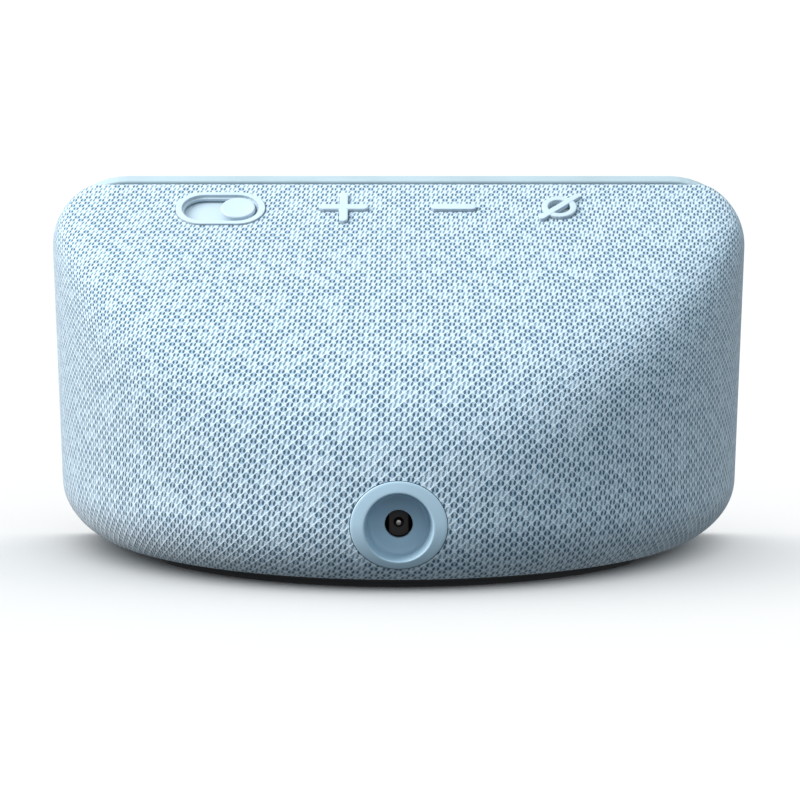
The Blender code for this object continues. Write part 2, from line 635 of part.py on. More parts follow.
socket_far = floor_y - JACK_WALL - GAP
socket_body = prism("dc_socket", moved(rounded(9 * MM, 9 * MM, 0.6 * MM, steps=2), 0.0, 0.0),
                    socket_far - 12.5 * MM, socket_far, plastic_black, jack, "Y")
combine(socket_body, [prism("bore", disc(SOCKET_BORE, 24), socket_far - 9.5 * MM, socket_far + 1 * MM,
                            plastic_black, jack, "Y")])
socket_pin = turned("socket_pin", [(0, socket_far - 9.2 * MM), (SOCKET_PIN, socket_far - 9.2 * MM),
                                   (SOCKET_PIN, socket_far - 1.1 * MM), (SOCKET_PIN * 0.6, socket_far - 0.6 * MM),
                                   (0, socket_far - 0.5 * MM)], nickel, jack, 16, "Y")
smooth(socket_pin)

# ---------------------------------------------------------------- base
base_plan_in = skin_in + GAP
plate_near = front_y(BASE_TOP) + FRAME_DEPTH / math.cos(LEAN) + GAP


def base_outline(inset, near, half):
    """The body's outline at the table, moved in by inset and cut straight at the front and sides."""
    points = section(FOOT_HEIGHT, inset, FRAME_DEPTH, SKIN_COLUMNS)
    return [(max(-half, min(half, x)), max(y, near)) for x, y, z in points]


prism("base_plate", base_outline(base_plan_in, plate_near, WIDTH / 2), FOOT_HEIGHT + 0.05 * MM, BASE_TOP, plastic_black)
foot_near = plate_near + 1.5 * MM
prism("rubber_foot", base_outline(FOOT_INSET, foot_near, FOOT_HALF), 0.0, FOOT_HEIGHT - 0.05 * MM, rubber_black)

# ---------------------------------------------------------------- loudspeaker
basket_profile = [(BASKET_RADIUS, 0.0), (BASKET_RADIUS, -1.3 * MM), (SURROUND_RADIUS + 0.6 * MM, -1.3 * MM),
                  (MAGNET_RADIUS, -8.6 * MM), (MAGNET_RADIUS, -9.6 * MM), (8.4 * MM, -9.6 * MM),
                  (8.4 * MM, -8.8 * MM), (MAGNET_RADIUS - 0.9 * MM, -8.6 * MM), (SURROUND_RADIUS - 0.4 * MM, 0.0)]
smooth(turned("speaker_basket", basket_profile, shell_grey, speaker))
magnet_top = -9.6 * MM - GAP
gap_in, gap_out = COIL_RADIUS - 0.8 * MM, COIL_RADIUS + 0.8 * MM
magnet_profile = [(0, -19.0 * MM), (MAGNET_RADIUS, -19.0 * MM), (MAGNET_RADIUS, magnet_top), (gap_out, magnet_top),
                  (gap_out, -17.2 * MM), (gap_in, -17.2 * MM), (gap_in, magnet_top), (0, magnet_top)]
smooth(turned("speaker_magnet", magnet_profile, ferrite, speaker))
surround_in = CONE_RADIUS - 1.2 * MM
roll = [(surround_in, 0.3 * MM), (surround_in, 0.75 * MM), (CONE_RADIUS + 0.2 * MM, 0.9 * MM)]
for step in range(7):
    turn = math.pi * step / 6
    roll.append(((CONE_RADIUS + SURROUND_RADIUS) / 2 + 1.2 * MM * -math.cos(turn), 0.9 * MM + 1.2 * MM * math.sin(turn)))
roll += [(SURROUND_RADIUS - 0.1 * MM, 0.9 * MM), (BASKET_RADIUS - 0.6 * MM, 0.75 * MM),
         (BASKET_RADIUS - 0.6 * MM, 0.3 * MM)]
smooth(turned("speaker_surround", roll, rubber_black, speaker))
cone_profile = [(CONE_RADIUS, 0.0), (CONE_RADIUS - 0.9 * MM, 0.0), (COIL_RADIUS - 0.3 * MM, -5.4 * MM),
                (COIL_RADIUS - 0.3 * MM, -13.2 * MM), (COIL_RADIUS + 0.1 * MM, -13.2 * MM),
                (COIL_RADIUS + 0.1 * MM, -6.2 * MM)]
smooth(turned("speaker_cone", cone_profile, paper_cone, speaker))
cap_profile = [(0, -3.3 * MM), (2.6 * MM, -3.6 * MM), (4.6 * MM, -4.4 * MM), (COIL_RADIUS - 0.7 * MM, -5.3 * MM),
               (COIL_RADIUS - 0.7 * MM, -5.7 * MM), (4.4 * MM, -4.9 * MM), (2.4 * MM, -4.1 * MM), (0, -3.8 * MM)]
smooth(turned("dust_cap", cap_profile, paper_cone, speaker))
coil_profile = tube_profile(COIL_RADIUS + 0.55 * MM, COIL_RADIUS + 0.25 * MM, -13.0 * MM, -9.4 * MM)
smooth(turned("voice_coil", coil_profile, copper, speaker))
spider_profile = tube_profile(MAGNET_RADIUS - 1.4 * MM, COIL_RADIUS + 0.5 * MM, -7.9 * MM, -7.5 * MM)
smooth(turned("speaker_spider", spider_profile, film_amber, speaker))
box_profile = [(BASKET_RADIUS + GAP, -0.2 * MM), (BOX_RADIUS, -0.2 * MM), (BOX_RADIUS, -BOX_DEPTH), (0, -BOX_DEPTH),
               (0, 1.4 * MM - BOX_DEPTH), (BASKET_RADIUS - 0.4 * MM, 1.4 * MM - BOX_DEPTH),
               (BASKET_RADIUS - 0.4 * MM, -1.8 * MM), (BASKET_RADIUS + GAP, -1.8 * MM)]
smooth(turned("speaker_enclosure", box_profile, shell_grey, speaker))

# ---------------------------------------------------------------- main board
floor_top = HOUSING_LOW + HOUSING_FLOOR
board_low = floor_top + 1.4 * MM
board_high = board_low + BOARD
board_rear = socket_far - 13.2 * MM
board_mid = board_rear - MAIN_BOARD[1] / 2
main_plan = moved(rounded(*MAIN_BOARD, 9 * MM, 2 * MM, steps=3), 0.0, board_mid)
prism("main_board", main_plan, board_low, board_high, board_green)
can_plan = moved(rounded(34 * MM, 30 * MM, 1 * MM, steps=2), -14 * MM, board_mid - 2 * MM)
can_high = board_high + GAP + 2.2 * MM
prism("shield_can", can_plan, board_high + GAP, can_high, nickel)
pad_plan = moved(rounded(24 * MM, 22 * MM, 0.5 * MM, steps=2), -14 * MM, board_mid - 2 * MM)
pad_high = can_high + GAP + 0.8 * MM
prism("thermal_pad", pad_plan, can_high + GAP, pad_high, pad_grey)
spreader_plan = moved(rounded(46 * MM, 34 * MM, 2 * MM, steps=2), -14 * MM, board_mid - 2 * MM)
prism("heat_spreader", spreader_plan, pad_high + GAP, pad_high + GAP + 1.0 * MM, aluminium)
radio_plan = moved(rounded(16 * MM, 14 * MM, 1 * MM, steps=2), 26 * MM, board_mid - 8 * MM)
prism("radio_module", radio_plan, board_high + GAP, board_high + GAP + 2.0 * MM, nickel)
amplifier_plan = moved(rounded(7 * MM, 7 * MM, 0.3 * MM, steps=1), 26 * MM, board_mid + 12 * MM)
prism("amplifier_chip", amplifier_plan, board_high + GAP, board_high + GAP + 1.1 * MM, plastic_black)


# ---------------------------------------------------------------- ribbons and wires, held all the way
def ribbon(name, path, wide, thick, slot, x=0.0):
    """A flat ribbon through (y, z) points, wide across X."""
    route = [Vector(p) for p in path]
    upper, lower = [], []
    for number, spot in enumerate(route):
        ahead = route[min(number + 1, len(route) - 1)] - route[max(number - 1, 0)]
        side = Vector((-ahead.y, ahead.x)).normalized() * thick / 2
        upper.append(spot + side)
        lower.append(spot - side)
    outline = upper + lower[::-1]
    count = len(outline)
    points = [(x + side * wide / 2, p.x, p.y) for side in (-1, 1) for p in outline]
    faces = []
    for k in range(len(route) - 1):
        for first in (0, count):
            faces.append((first + k, first + k + 1, first + count - 2 - k, first + count - 1 - k))
    for k in range(count):
        n = (k + 1) % count
        faces.append((k, n, count + n, count + k))
    return add(name, points, faces, slot)


def in_front(depth, rise):
    """The (y, z) of a point given by its depth behind the screen and its rise up the screen."""
    spot = front.matrix_world @ Vector((0.0, depth, rise))
    return spot.y, spot.z


def on_slope(y, z):
    """The (y, z) of a point given in the slope's frame."""
    spot = slope.matrix_world @ Vector((0.0, y, z))
    return spot.y, spot.z


chassis_far = chassis_near + CHASSIS[2]
main_front = board_mid - MAIN_BOARD[1] / 2
start = in_front(chassis_far + 0.6 * MM, PANEL_RISE - 8 * MM)
under = in_front(chassis_far + 0.6 * MM, PANEL_RISE - 20 * MM)
ribbon("display_flex", [start, under, (under[0] + 1.0 * MM, board_high + 5 * MM),
                        (main_front + 2 * MM, board_high + 1.5 * MM), (main_front + 5 * MM, board_high + 0.6 * MM),
                        (main_front + 8 * MM, board_high + 0.5 * MM)], 14 * MM, 0.25 * MM, film_amber, 27 * MM)
key_start = on_slope(0.0, board_top - 1.0 * MM - 0.5 * MM)
key_turn = on_slope(-1.0 * MM, board_top - 5 * MM)
ribbon("button_flex", [key_start, key_turn, in_front(chassis_far + 3 * MM, PANEL_RISE + 8 * MM),
                       in_front(chassis_far + 3 * MM, 20 * MM), (main_front + 4 * MM, board_high + 2.5 * MM),
                       (main_front + 7 * MM, board_high + 0.6 * MM), (main_front + 10 * MM, board_high + 0.5 * MM)],
       6 * MM, 0.25 * MM, film_amber, -22 * MM)
for label, x in (("red", 30.6 * MM), ("black", 33.0 * MM)):
    wire = bpy.data.curves.new("speaker_wire_" + label, "CURVE")
    wire.dimensions = "3D"
    wire.bevel_depth = 0.6 * MM
    wire.bevel_resolution = 2
    wire.use_fill_caps = True
    line = wire.splines.new("POLY")
    stops = [Vector((x, board_mid + 14 * MM, board_high + 0.9 * MM)),
             Vector((x, board_mid + 15 * MM, board_high + 3.0 * MM)),
             Vector((x, board_mid + 14 * MM, board_high + 9 * MM)),
             Vector((x - 3 * MM, board_mid + 12 * MM, board_high + 14 * MM))]
    knots = [stops[0]] + stops + [stops[-1]]
    smooth_points = []
    for k in range(1, len(knots) - 2):
        for step in range(5):
            t = step / 5
            a, b, c, d = knots[k - 1:k + 3]
            smooth_points.append(0.5 * (2 * b + (c - a) * t + (2 * a - 5 * b + 4 * c - d) * t * t
                                        + (3 * b - a - 3 * c + d) * t ** 3))
    smooth_points.append(stops[-1])
    line.points.add(len(smooth_points) - 1)
    for spot, place in zip(line.points, smooth_points):
        spot.co = (*place, 1.0)
    wire_object = bpy.data.objects.new("speaker_wire_" + label, wire)
    wire.materials.append(material("wire_" + label, (0.45, 0.02, 0.02) if label == "red" else (0.02, 0.02, 0.02), 0.4))
    bpy.context.scene.collection.objects.link(wire_object)

# ---------------------------------------------------------------- screws
def screw(name, x, y, head, tip, head_high):
    """A low-head screw from its head's face to its tip; tip may lie above or below the head."""
    way = 1 if tip > head else -1
    seat = head + way * head_high
    profile = [(0, head), (SCREW_HEAD, head), (SCREW_HEAD, seat), (SCREW_SHANK, seat), (SCREW_SHANK, tip), (0, tip)]
    made = turned(name, profile, steel, None, 14)
    made.location = (x, y, 0.0)
    return smooth(made)


def drill(shell, x, y, radius, low, high):
    """A round hole along Z."""
    tool = prism("drill", moved(disc(radius, 14), x, y), low, high, steel)
    combine(shell, [tool])


base_plate = bpy.data.objects["base_plate"]
main_board = bpy.data.objects["main_board"]
base_screw_face = FOOT_HEIGHT + 0.2 * MM
base_screw_seat = base_screw_face + 0.7 * MM + GAP * 0.7
for number, (x, y) in enumerate(((-36, -18), (36, -18), (-20, 14), (20, 14))):
    px, py = x * MM, y * MM
    drill(base_plate, px, py, SCREW_HEAD + GAP, 0.0, base_screw_seat)
    for shell in (base_plate, housing):
        drill(shell, px, py, SCREW_SHANK + GAP, 0.0, floor_top + 1 * MM)
    screw("base_screw_%d" % (number + 1), px, py, base_screw_face, floor_top + 0.8 * MM, 0.7 * MM)
for number, (x, y) in enumerate(((-30, -23), (14, -23), (12, 22))):
    px, py = x * MM, board_mid + y * MM
    post = prism("boss", moved(disc(2.8 * MM, 16), px, py), floor_top - 1 * MM, board_low - GAP, shell_grey)
    combine(housing, [post], "UNION")
    for shell in (main_board, housing):
        drill(shell, px, py, SCREW_SHANK + GAP, HOUSING_LOW + 0.6 * MM, board_high + 1 * MM)
    screw("board_screw_%d" % (number + 1), px, py, board_high + GAP + 0.9 * MM, HOUSING_LOW + 0.9 * MM, 0.9 * MM)
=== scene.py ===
import math

import bmesh
import bpy
import numpy as np
from mathutils import Matrix, Vector


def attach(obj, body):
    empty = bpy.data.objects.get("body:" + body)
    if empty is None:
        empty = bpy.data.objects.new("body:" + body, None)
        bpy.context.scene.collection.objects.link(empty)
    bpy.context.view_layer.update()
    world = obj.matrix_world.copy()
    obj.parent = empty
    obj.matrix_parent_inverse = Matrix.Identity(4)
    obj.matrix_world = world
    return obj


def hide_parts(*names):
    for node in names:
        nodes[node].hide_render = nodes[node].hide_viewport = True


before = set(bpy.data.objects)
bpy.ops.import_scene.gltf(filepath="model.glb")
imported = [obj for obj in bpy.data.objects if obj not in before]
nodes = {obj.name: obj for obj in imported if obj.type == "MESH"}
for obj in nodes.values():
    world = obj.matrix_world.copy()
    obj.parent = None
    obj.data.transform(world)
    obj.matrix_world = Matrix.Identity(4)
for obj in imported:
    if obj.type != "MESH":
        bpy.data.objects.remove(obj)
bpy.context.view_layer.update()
MM = 0.001

# ------------------------------------------------------------------ camera, table and studio light
# A long lens stands behind the speaker, a little above its keys, and looks slightly down.
camera = bpy.data.objects.new("camera", bpy.data.cameras.new("camera"))
bpy.context.scene.collection.objects.link(camera)
camera.location = (0.0, 0.646, 0.0929)
camera.rotation_euler = (math.radians(90 - 5.25), 0.0, math.pi)
camera.data.lens = 140.5
camera.data.shift_x = 0.0016
camera.data.shift_y = 0.0019
camera.data.clip_start = 0.01
bpy.context.scene.camera = camera
bpy.context.scene.view_settings.view_transform = "Standard"


class Value:
    """One value in a material. Arithmetic on it adds Math nodes."""

    def __init__(self, finish, socket):
        self.finish = finish
        self.socket = socket

    def math(self, operation, *terms):
        return self.finish.node("ShaderNodeMath", {"operation": operation}, terms)

    def __add__(self, other):
        return self.math("ADD", self, other)

    def __sub__(self, other):
        return self.math("SUBTRACT", self, other)

    def __rsub__(self, other):
        return self.math("SUBTRACT", other, self)

    def __mul__(self, other):
        return self.math("MULTIPLY", self, other)

    def __truediv__(self, other):
        return self.math("DIVIDE", self, other)

    def __pow__(self, other):
        return self.math("POWER", self, other)

    def __abs__(self):
        return self.math("ABSOLUTE", self)

    __radd__ = __add__
    __rmul__ = __mul__

    def fraction(self):
        return self.math("FRACT", self)

    def floor(self):
        return self.math("FLOOR", self)

    def at_least(self, low):
        return self.math("MAXIMUM", self, low)

    def ramp(self, low, high):
        """0 below low, 1 above high, smooth between."""
        settings = {"interpolation_type": "SMOOTHSTEP"}
        sockets = {"Value": self, "From Min": low, "From Max": high}
        return self.finish.node("ShaderNodeMapRange", settings, sockets)


class Finish:
    """A material on the Principled shader, with constants on its own sockets."""

    def __init__(self, name, colour, roughness, **constants):
        self.material = bpy.data.materials.new(name)
        self.material.use_nodes = True
        self.tree = self.material.node_tree
        self.shader = self.tree.nodes["Principled BSDF"]
        self.shader.inputs["Base Color"].default_value = (*colour, 1.0)
        self.shader.inputs["Roughness"].default_value = roughness
        for socket, constant in constants.items():
            socket = socket.replace("_", " ").title().replace("Ior", "IOR")
            self.shader.inputs[socket].default_value = constant

    def node(self, kind, settings=None, inputs=(), output=0):
        made = self.tree.nodes.new(kind)
        for setting, choice in (settings or {}).items():
            setattr(made, setting, choice)
        pairs = inputs.items() if isinstance(inputs, dict) else enumerate(inputs)
        for socket, value in pairs:
            if isinstance(value, Value):
                self.tree.links.new(value.socket, made.inputs[socket])
            else:
                made.inputs[socket].default_value = value
        return Value(self, made.outputs[output])

    def place(self):
        """The point on the piece, in metres."""
        return self.node("ShaderNodeTexCoord", output="Object")

    def noise(self, scale, detail=2.0, stretch=(1.0, 1.0, 1.0)):
        spot = self.node("ShaderNodeMapping", {}, {"Vector": self.place(), "Scale": stretch})
        return self.node("ShaderNodeTexNoise", {}, {"Vector": spot, "Scale": scale, "Detail": detail})

    def blend(self, share, first, second):
        """A colour between two others."""
        sockets = {0: share, 6: first, 7: second}
        return self.node("ShaderNodeMix", {"data_type": "RGBA"}, sockets, 2)

    def bump(self, height, distance, strength=1.0):
        sockets = {"Height": height, "Distance": distance, "Strength": strength}
        self.feed("Normal", self.node("ShaderNodeBump", {}, sockets))

    def feed(self, socket, value):
        self.tree.links.new(value.socket, self.shader.inputs[socket])


def paint(finish, *names):
    """Gives a finish to CAD nodes and shades their round faces smooth."""
    for name in names:
        piece = nodes[name]
        piece.data.materials.clear()
        piece.data.materials.append(finish.material)
        piece.data.shade_smooth()
        piece.data.set_sharp_from_angle(angle=math.radians(32))


# The table is a wide, smooth, pale painted board.
table_half = 60.0
table = bpy.data.meshes.new("table")
corners = [(-1, -1), (1, -1), (1, 1), (-1, 1)]
table.from_pydata([(x * table_half, y * table_half, 0.0) for x, y in corners], [], [(0, 1, 2, 3)])
table = bpy.data.objects.new("table", table)
bpy.context.scene.collection.objects.link(table)
white_paint = Finish("white_paint", (0.90, 0.855, 0.83), 0.8, specular_ior_level=0.0)
white_paint.bump(white_paint.noise(900.0), 0.00002, 0.2)
table.data.materials.append(white_paint.material)
table.visible_diffuse = False
table.visible_glossy = False

# One soft light stands to the side, under a bright ceiling that fades out at the horizon. It
# doesn't light the table, so only the ceiling's soft shadow lies round the foot.
key_light = bpy.data.objects.new("key_light", bpy.data.lights.new("key_light", "AREA"))
key_light.data.shape = "DISK"
key_light.data.size = 0.45
key_light.data.energy = 8.6
key_light.data.color = (1.0, 0.955, 0.92)
key_light.location = (0.62, 0.20, 0.48)
key_light.rotation_euler = Vector((0.62, 0.20, 0.44)).to_track_quat("Z", "Y").to_euler()
bpy.context.scene.collection.objects.link(key_light)
key_receivers = bpy.data.collections.new("key_receivers")
key_receivers.objects.link(table)
key_receivers.collection_objects[0].light_linking.link_state = "EXCLUDE"
key_light.light_linking.receiver_collection = key_receivers
studio = bpy.data.worlds.new("studio")
studio.use_nodes = True
bpy.context.scene.world = studio


def studio_node(kind, **sockets):
    made = studio.node_tree.nodes.new(kind)
    for socket, value in sockets.items():
        socket = made.inputs[socket.replace("_", " ").title()]
        if hasattr(value, "links"):
            studio.node_tree.links.new(value, socket)
        else:
            socket.default_value = value
    return made


sky = studio_node("ShaderNodeTexCoord").outputs["Generated"]
direction = studio_node("ShaderNodeSeparateXYZ", vector=sky)
ceiling = studio_node("ShaderNodeMapRange", value=direction.outputs["Z"], from_min=-0.12, from_max=0.7,
                      to_min=0.22, to_max=1.42).outputs["Result"]
seen = studio_node("ShaderNodeLightPath").outputs["Is Camera Ray"]
level = studio_node("ShaderNodeMapRange", value=seen, to_min=ceiling, to_max=1.25).outputs["Result"]
studio.node_tree.links.new(level, studio.node_tree.nodes["Background"].inputs["Strength"])
studio.node_tree.nodes["Background"].inputs["Color"].default_value = (0.90, 0.965, 1.0, 1.0)

# ------------------------------------------------------------------ fabric cover
# An open spacer knit of pale blue polyester, pulled over the housing like a sock. Its edges are
# tucked into the groove behind the front frame, under the base and round the controls.
LEAN = math.radians(18.0)
WIDTH, HEIGHT, DEPTH = 147.0 * MM, 80.0 * MM, 91.0 * MM
FRAME_FOOT, FRAME_DEPTH, TOP_CORNER = 2.5 * MM, 4.0 * MM, 16.0 * MM
FOOT_HEIGHT = 1.2 * MM
TUCK_HEIGHT, TUCK_SIDE, TUCK_REAR, TUCK_CURL = 14 * MM, 11 * MM, 9 * MM, 0.95
REAR_BULGE = 1.9 * MM
SLOPE_RUN, SLOPE_BEND = 1.54, 4.4
PLAN_POWER, BLEND_POWER = 1.95, 9.0
KNIT_THICK = 0.9 * MM
EDGE_ROLL = 1.5 * MM


def front_y(z):
    return (z - FRAME_FOOT) * math.tan(LEAN) - DEPTH / 2


def slope_drop(z):
    return HEIGHT - FRAME_DEPTH * math.sin(LEAN) - z


def slope_y(z):
    start = front_y(HEIGHT) + FRAME_DEPTH * math.cos(LEAN)
    return start + SLOPE_RUN * slope_drop(z) - SLOPE_BEND * slope_drop(z) ** 2


def slope_angle(z):
    return math.atan(1 / (SLOPE_RUN - 2 * SLOPE_BEND * slope_drop(z)))


def outline(z):
    """Plan curve of the cover at height z, from the +X edge round the rear, as x, y and length."""
    tuck_share = min(max((TUCK_HEIGHT - z) / (TUCK_HEIGHT - FOOT_HEIGHT), 0.0), 1.0)
    tuck = (1 - math.sqrt(1 - (TUCK_CURL * tuck_share) ** 2)) / (1 - math.sqrt(1 - TUCK_CURL ** 2))
    corner_start = HEIGHT - TOP_CORNER * math.cos(LEAN)
    corner_share = min(max((z - corner_start) / math.cos(LEAN) / TOP_CORNER, 0.0), 1.0)
    half = WIDTH / 2 - TUCK_SIDE * tuck - TOP_CORNER * (1 - math.sqrt(1 - corner_share ** 2))
    near = front_y(z) + FRAME_DEPTH / math.cos(LEAN)
    rear = DEPTH / 2 + REAR_BULGE - TUCK_REAR * tuck - near
    angle = np.linspace(0.0, math.pi, 1441)
    back = np.maximum(np.sin(angle), 1e-6)
    plan = (np.abs(np.cos(angle)) / half) ** PLAN_POWER + (back / rear) ** PLAN_POWER
    plan = plan ** (-1 / PLAN_POWER)
    slope = (slope_y(z) - near) / back
    reach = (plan ** -BLEND_POWER + slope ** -BLEND_POWER) ** (-1 / BLEND_POWER)
    x, y = reach * np.cos(angle), near + reach * back
    y[0] = y[-1] = near
    return x, y, np.concatenate(([0.0], np.cumsum(np.hypot(np.diff(x), np.diff(y)))))


def spread(count, ease):
    """Shares from 0 to 1 that crowd towards both ends."""
    even = np.linspace(0.0, 1.0, count)
    return even * (1 - ease) + ease * (0.5 - 0.5 * np.cos(np.pi * even))


def face_outward(mesh):
    """Turns every face of a closed mesh outward."""
    work = bmesh.new()
    work.from_mesh(mesh)
    bmesh.ops.recalc_face_normals(work, faces=work.faces)
    work.to_mesh(mesh)
    work.free()


low, high = HEIGHT / 2, HEIGHT
for _ in range(50):
    middle = (low + high) / 2
    if slope_y(middle) > front_y(middle) + FRAME_DEPTH / math.cos(LEAN):
        low = middle
    else:
        high = middle
cover_top = low - 0.2 * MM
ROWS, COLUMNS = 96, 150
STITCH_WIDE, STITCH_NARROWING, STITCH_TALL = 2.42, 0.47, 2.05 * MM
heights = FOOT_HEIGHT + (cover_top - FOOT_HEIGHT) * spread(ROWS + 1, 0.93)
shares = spread(COLUMNS + 1, 0.75)
skin = np.zeros((ROWS + 1, COLUMNS + 1, 3))
weave = np.zeros((ROWS + 1, COLUMNS + 1, 2))
climb = 0.0
last_spine = None
for row, z in enumerate(heights):
    x, y, length = outline(z)
    along = shares * length[-1]
    level_z = np.full(along.shape, z)
    skin[row] = np.stack([np.interp(along, length, x), np.interp(along, length, y), level_z], 1)
    spine = np.array([np.interp(length[-1] / 2, length, y), z])
    if last_spine is not None:
        climb += np.hypot(*(spine - last_spine))
    last_spine = spine
    rise = min(max((z - 15 * MM) / (60 * MM), 0.0), 1.0)
    stitch_wide = (STITCH_WIDE - STITCH_NARROWING * rise) * MM
    courses = np.full(along.shape, climb / STITCH_TALL)
    weave[row] = np.stack([(along - length[-1] / 2) / stitch_wide, courses], 1)


def grid_normals(points):
    """Outward directions at the points of a grid."""
    across = np.gradient(points, axis=1)
    up = np.gradient(points, axis=0)
    facing = np.cross(across, up)
    facing /= np.maximum(np.linalg.norm(facing, axis=2, keepdims=True), 1e-12)
    return -facing if facing[ROWS // 2, COLUMNS // 2, 1] < 0 else facing


facing = grid_normals(skin)
behind = (skin[..., 1] - front_y(skin[..., 2])) * math.cos(LEAN) - FRAME_DEPTH
edge = np.clip(np.minimum(behind, skin[..., 2] - FOOT_HEIGHT), 0.0, EDGE_ROLL)
rolled = EDGE_ROLL - np.sqrt(np.maximum(EDGE_ROLL ** 2 - (EDGE_ROLL - edge) ** 2, 0.0))
outer = skin - facing * rolled[..., None] * 0.9
inner = skin - facing * (KNIT_THICK + 0.05 * MM)
groove = front_y(inner[..., 2]) + (FRAME_DEPTH + 0.02 * MM) / math.cos(LEAN)
inner[..., 1] = np.maximum(inner[..., 1], groove)
inner[..., 2] = np.maximum(inner[..., 2], FOOT_HEIGHT)
wide = COLUMNS + 1
count = (ROWS + 1) * wide
faces = []
for row in range(ROWS):
    for column in range(COLUMNS):
        a = row * wide + column
        faces.append((a, a + 1, a + wide + 1, a + wide))
        faces.append((count + a, count + a + wide, count + a + wide + 1, count + a + 1))
rim = list(range(wide))
rim += [row * wide + COLUMNS for row in range(1, ROWS + 1)]
rim += [ROWS * wide + column for column in range(COLUMNS - 1, -1, -1)]
rim += [row * wide for row in range(ROWS - 1, 0, -1)]
for a, b in zip(rim, rim[1:] + rim[:1]):
    faces.append((a, count + a, count + b, b))
mesh = bpy.data.meshes.new("knit_cover")
both_sides = np.concatenate([outer.reshape(-1, 3), inner.reshape(-1, 3)])
mesh.from_pydata([tuple(point) for point in both_sides], [], faces)
layer = mesh.uv_layers.new(name="weave")
per_point = np.concatenate([weave.reshape(-1, 2), weave.reshape(-1, 2)])
index = np.zeros(len(mesh.loops), dtype=np.int32)
mesh.loops.foreach_get("vertex_index", index)
layer.uv.foreach_set("vector", per_point[index].astype(np.float32).ravel())
knit_cover = bpy.data.objects.new("knit_cover", mesh)
bpy.context.scene.collection.objects.link(knit_cover)
face_outward(mesh)

control_z = slope_drop(0.0) - 10 * MM * math.sin(slope_angle(HEIGHT * 0.95))
SLOPE = Matrix.Translation((0.0, slope_y(control_z), control_z))
SLOPE = SLOPE @ Matrix.Rotation(-slope_angle(control_z), 4, "X")


def capsule(length, thick, steps=8):
    """A round-ended bar as plan points."""
    points = []
    for end in (1, -1):
        for step in range(steps + 1):
            turn = math.radians(-90 + 180 * step / steps)
            x = end * ((length - thick) / 2 + thick / 2 * math.cos(turn))
            points.append((x, end * thick / 2 * math.sin(turn)))
    return points


def plus_plan(span, thick, steps=8):
    """A plus with round ends as plan points."""
    points = []
    for quarter in range(4):
        end = [(thick / 2 * math.cos(a) + (span - thick) / 2, thick / 2 * math.sin(a))
               for a in (math.radians(-90 + 180 * k / steps) for k in range(steps + 1))]
        c, s = math.cos(math.radians(90 * quarter)), math.sin(math.radians(90 * quarter))
        for x, y in end + [(thick / 2, thick / 2)]:
            points.append((x * c - y * s, x * s + y * c))
    return points


def oval(across, up, steps=64, lift=0.0):
    return [(across * math.cos(2 * math.pi * k / steps), up * math.sin(2 * math.pi * k / steps) + lift)
            for k in range(steps)]


def prism(name, plan, low, high, matrix, shift=0.0, turn=0.0, along="Z"):
    """Plan points extruded from low to high along Z, or along Y with the plan standing up."""
    count = len(plan)
    c, s = math.cos(turn), math.sin(turn)
    flat = [(c * x - s * y + shift, s * x + c * y) for x, y in plan]
    points = [(x, y, h) if along == "Z" else (x, h, y) for h in (low, high) for x, y in flat]
    sides = [(k, (k + 1) % count, count + (k + 1) % count, count + k) for k in range(count)]
    mesh = bpy.data.meshes.new(name)
    mesh.from_pydata(points, [], [tuple(range(count)), tuple(range(count, 2 * count))] + sides)
    mesh.transform(matrix)
    face_outward(mesh)
    made = bpy.data.objects.new(name, mesh)
    bpy.context.scene.collection.objects.link(made)
    return made


def bake(piece):
    """Replaces a piece's mesh with what its modifiers give."""
    bpy.context.view_layer.update()
    seen = piece.evaluated_get(bpy.context.evaluated_depsgraph_get())
    mesh = bpy.data.meshes.new_from_object(seen)
    piece.modifiers.clear()
    piece.data = mesh


def carve(piece, tool):
    """Cuts a tool out of a piece. The tool is used up."""
    step = piece.modifiers.new("carve", "BOOLEAN")
    step.operation = "DIFFERENCE"
    step.solver = "EXACT"
    step.object = tool
    bake(piece)
    bpy.data.objects.remove(tool, do_unlink=True)


PLUS_X, MIC_X, BEZEL_X = 11.5 * MM, -33.55 * MM, 37.3 * MM
SLACK = 0.12 * MM
KEY_THICK = 1.85 * MM + 2 * SLACK
MIC_RADIUS = 3.7 * MM + SLACK
JACK_RISE, RING_LIFT = 13.0 * MM, 0.4 * MM
JACK = Matrix.Translation((0.0, 0.0, JACK_RISE))
for plan, place_x, turn in (
    (plus_plan(10.4 * MM + 2 * SLACK, KEY_THICK), PLUS_X, 0.0),
    (capsule(9.4 * MM + 2 * SLACK, KEY_THICK), -PLUS_X, 0.0),
    (oval(MIC_RADIUS, MIC_RADIUS, 40), MIC_X, 0.0),
    (capsule(12 * MM + 2 * SLACK, 1.4 * MM + 2 * SLACK), MIC_X, math.radians(45)),
    (capsule(18.84 * MM + 2 * SLACK, 11.4 * MM + 2 * SLACK, 20), BEZEL_X, 0.0),
):
    carve(knit_cover, prism("cut", plan, -2 * MM, 3 * MM, SLOPE, place_x, turn))
ring_plan = oval(9.5 * MM + SLACK, 8.7 * MM + SLACK, 72, RING_LIFT)
carve(knit_cover, prism("cut", ring_plan, 30 * MM, 60 * MM, JACK, along="Y"))
knit_cover.data.shade_smooth()
knit_cover.data.set_sharp_from_angle(angle=math.radians(50))

